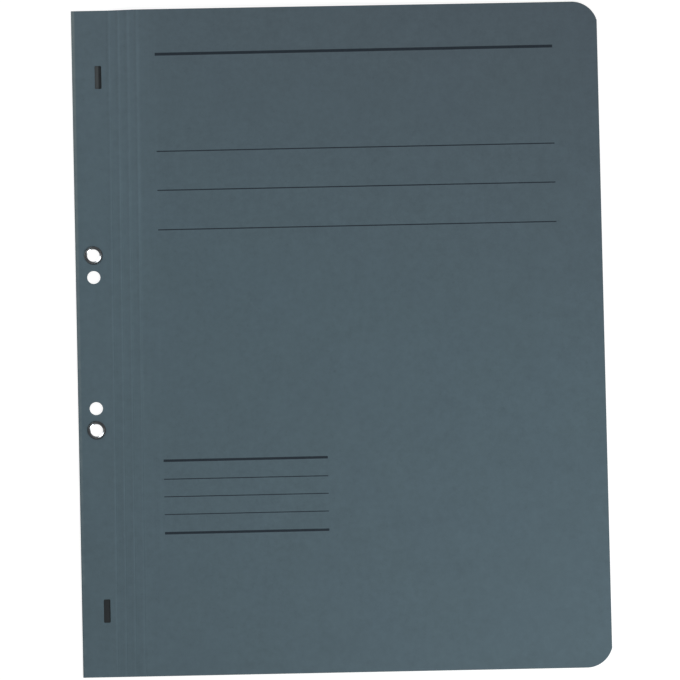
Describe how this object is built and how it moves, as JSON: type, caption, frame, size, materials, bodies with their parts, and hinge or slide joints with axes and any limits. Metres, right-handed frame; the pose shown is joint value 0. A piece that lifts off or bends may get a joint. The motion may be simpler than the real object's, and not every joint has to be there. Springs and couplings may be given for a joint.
{
  "type": "eyelet filing folder",
  "caption": "Flat A4 card folder with a creased full front cover, a riveted binding margin with metal eyelets, and a metal prong fastener inside.",
  "frame": {"origin": "middle of the underside of the closed folder, on the surface it lies on", "axes": "+X from the folded edge to the fore edge, +Y to the head of the page, +Z out of the front cover"},
  "size_m": [0.24, 0.305, 0.0031],
  "materials": {
    "manila_card": "matt blue-grey manila card with a fine fibre mottle",
    "printing_ink": "matt black ruling lines printed on the card",
    "carrier_card": "matt card, slightly lighter",
    "blackened_steel": "blackened sheet steel, half matt",
    "nickel_plate": "bright nickel plating on rolled sheet",
    "tinned_steel": "tinned sheet steel with a fine rolling grain"
  },
  "bodies": {
    "folder_back": {"back_cover": "manila_card", "spine_fold": "manila_card", "binding_margin": "manila_card", "margin_rail": "blackened_steel", "upper_eyelet": "nickel_plate", "lower_eyelet": "nickel_plate", "fastener_base": "tinned_steel", "carrier_strip": "carrier_card", "cover_bar": "tinned_steel"},
    "first_strip": {"crease_strip_1": "manila_card"},
    "second_strip": {"crease_strip_2": "manila_card"},
    "third_strip": {"crease_strip_3": "manila_card"},
    "cover_panel": {"front_cover": "manila_card"},
    "upper_tongue": {"upper_prong": "tinned_steel"},
    "lower_tongue": {"lower_prong": "tinned_steel"},
    "upper_lock": {"upper_slider": "tinned_steel"},
    "lower_lock": {"lower_slider": "tinned_steel"}
  },
  "joints": [
    {"name": "first_crease", "type": "hinge", "parent": "folder_back", "child": "first_strip", "pos_m": [-0.1033, 0, 0.0011], "axis": [0, -1, 0], "range_deg": [0, 135]},
    {"name": "second_crease", "type": "hinge", "parent": "first_strip", "child": "second_strip", "pos_m": [-0.09916, 0, 0.00178], "axis": [0, -1, 0], "range_deg": [0, 15.5]},
    {"name": "third_crease", "type": "hinge", "parent": "second_strip", "child": "third_strip", "pos_m": [-0.09501, 0, 0.00247], "axis": [0, -1, 0], "range_deg": [0, 15.5]},
    {"name": "fourth_crease", "type": "hinge", "parent": "third_strip", "child": "cover_panel", "pos_m": [-0.09087, 0, 0.00315], "axis": [0, -1, 0], "range_deg": [0, 15.5]},
    {"name": "upper_prong_bend", "type": "hinge", "parent": "folder_back", "child": "upper_tongue", "pos_m": [-0.081, 0.04, 0.00175], "axis": [-1, 0, 0], "range_deg": [0, 90]},
    {"name": "lower_prong_bend", "type": "hinge", "parent": "folder_back", "child": "lower_tongue", "pos_m": [-0.081, -0.04, 0.00175], "axis": [1, 0, 0], "range_deg": [0, 90]},
    {"name": "upper_slider_travel", "type": "slide", "parent": "folder_back", "child": "upper_lock", "axis": [0, -1, 0], "range_m": [0, 0.022]},
    {"name": "lower_slider_travel", "type": "slide", "parent": "folder_back", "child": "lower_lock", "axis": [0, 1, 0], "range_m": [0, 0.022]}
  ],
  "couplings": [
    {"joint": "upper_prong_bend", "follows": "first_crease", "ratio": 0.6666},
    {"joint": "lower_prong_bend", "follows": "first_crease", "ratio": 0.6666}
  ]
}
